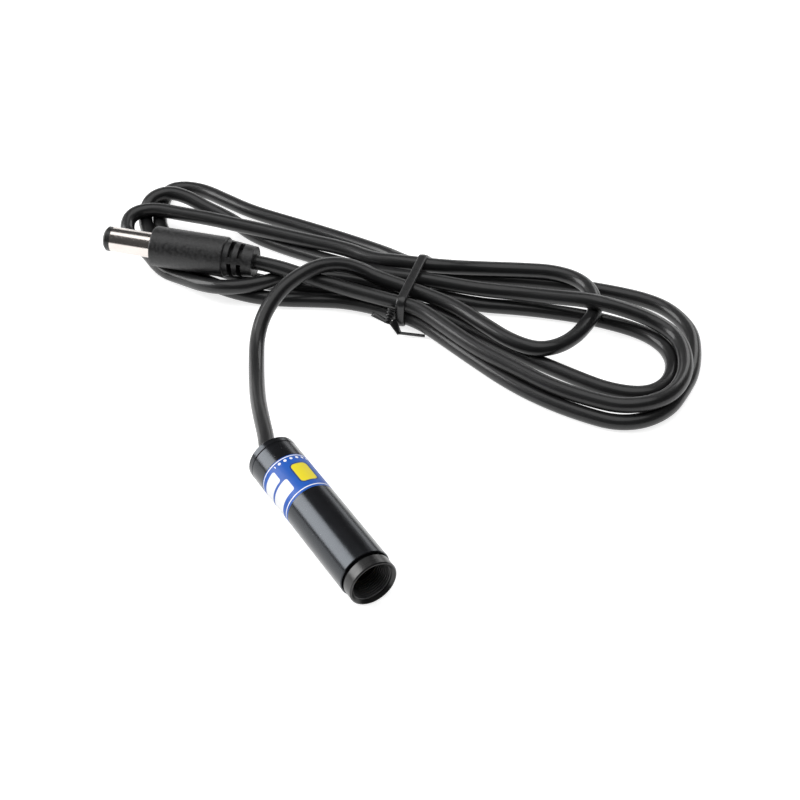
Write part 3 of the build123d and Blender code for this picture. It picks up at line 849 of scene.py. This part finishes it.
cord = make_cord()
tie_strip = make_tie_strip()
tie_knot = make_tie_knot()
tie_tails = make_tie_tails()
front_thread = make_front_thread()

for piece in (cord, tie_strip, tie_knot, *tie_tails, front_thread):
    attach(piece, "root")
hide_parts("module_lead", "cord_hank", "plug_lead")
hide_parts("twist_tie")

# The table: its half width, its grey, and the glow that makes it white to the camera, near and far.
table_half = 1500
table_grey = (0.6, 0.6, 0.6, 1)
glow_near, glow_far = 0.78, 1.0
glow_start_m, glow_end_m = 0.5, 1.0


def table_finish():
    """White to the camera, in reflections and through glass, and still darkened by the shadows."""
    finish = bpy.data.materials.new("white_table")
    finish.use_nodes = True
    tree = finish.node_tree
    tree.nodes.clear()
    add, link = tree.nodes.new, tree.links.new
    out = add("ShaderNodeOutputMaterial")
    matte = add("ShaderNodeBsdfDiffuse")
    matte.inputs["Color"].default_value = table_grey
    glow = add("ShaderNodeEmission")
    both = add("ShaderNodeAddShader")
    path = add("ShaderNodeLightPath")
    mirrored = add("ShaderNodeMath")
    mirrored.operation = "MAXIMUM"
    level = add("ShaderNodeMath")
    level.operation = "MULTIPLY_ADD"
    place = add("ShaderNodeTexCoord")
    away = add("ShaderNodeVectorMath")
    away.operation = "LENGTH"
    fade = add("ShaderNodeMapRange")
    fade.inputs["From Min"].default_value = glow_start_m
    fade.inputs["From Max"].default_value = glow_end_m
    fade.inputs["To Min"].default_value = glow_near
    fade.inputs["To Max"].default_value = glow_far
    link(place.outputs["Object"], away.inputs[0])
    link(away.outputs["Value"], fade.inputs["Value"])
    link(path.outputs["Is Glossy Ray"], mirrored.inputs[0])
    link(path.outputs["Is Transmission Ray"], mirrored.inputs[1])
    link(path.outputs["Is Camera Ray"], level.inputs[0])
    link(fade.outputs["Result"], level.inputs[1])
    link(mirrored.outputs[0], level.inputs[2])
    link(level.outputs[0], glow.inputs["Strength"])
    link(matte.outputs[0], both.inputs[0])
    link(glow.outputs[0], both.inputs[1])
    link(both.outputs[0], out.inputs["Surface"])
    return finish


def make_floor():
    signs = ((-1, -1), (1, -1), (1, 1), (-1, 1))
    corners = [(x * table_half, y * table_half, 0) for x, y in signs]
    return mesh_piece("table", corners, [(0, 1, 2, 3)], table_finish(), smooth=False)


make_floor()


def aim(thing, place, target):
    """Puts a lamp or the camera in its place and turns it to the target, both in metres."""
    thing.location = place
    thing.rotation_euler = (Vector(target) - Vector(place)).to_track_quat("-Z", "Y").to_euler()


def softbox(name, place, target, width, height, power):
    """A rectangular lamp, with its sizes in metres and its power in watts."""
    light = bpy.data.lights.new(name, "AREA")
    light.shape = "RECTANGLE"
    light.size, light.size_y = width, height
    light.energy = power
    aim(placed(name, light), place, target)


softbox("top_softbox", (-0.05, 0.04, 1.0), (-0.05, 0.04, 0), width=1.1, height=0.9, power=6)
softbox("left_softbox", (-0.42, -0.4, 0.32), (0, 0, 0), width=0.4, height=0.46, power=4.2)
softbox("right_softbox", (-0.31, 0.66, 0.38), (-0.05, 0.03, 0), width=0.3, height=0.35, power=1.2)
softbox("back_panel", (-0.8, 0.48, 0.2), (-0.03, 0.03, 0), width=1.2, height=0.25, power=1.4)


def make_world():
    """A dim, even light all round, which is white where the camera sees past the table."""
    fill, seen_glow = 0.08, 0.92
    world = bpy.data.worlds.new("studio")
    world.use_nodes = True
    tree = world.node_tree
    sky = tree.nodes["Background"]
    sky.inputs["Color"].default_value = (1, 1, 1, 1)
    path = tree.nodes.new("ShaderNodeLightPath")
    level = tree.nodes.new("ShaderNodeMath")
    level.operation = "MULTIPLY_ADD"
    level.inputs[1].default_value = seen_glow
    level.inputs[2].default_value = fill
    tree.links.new(path.outputs["Is Camera Ray"], level.inputs[0])
    tree.links.new(level.outputs[0], sky.inputs["Strength"])
    return world


def make_camera():
    focal_length, film_width = 75.56, 36
    eye_m, view_point_m = (0.19385, -0.10014, 0.2201), (-0.02585, 0.03239, 0)
    lens = bpy.data.cameras.new("camera")
    lens.lens = focal_length
    lens.sensor_width = film_width
    camera = placed("camera", lens)
    aim(camera, eye_m, view_point_m)
    return camera


bpy.context.scene.world = make_world()
bpy.context.scene.camera = make_camera()
bpy.context.scene.view_settings.view_transform = "Standard"
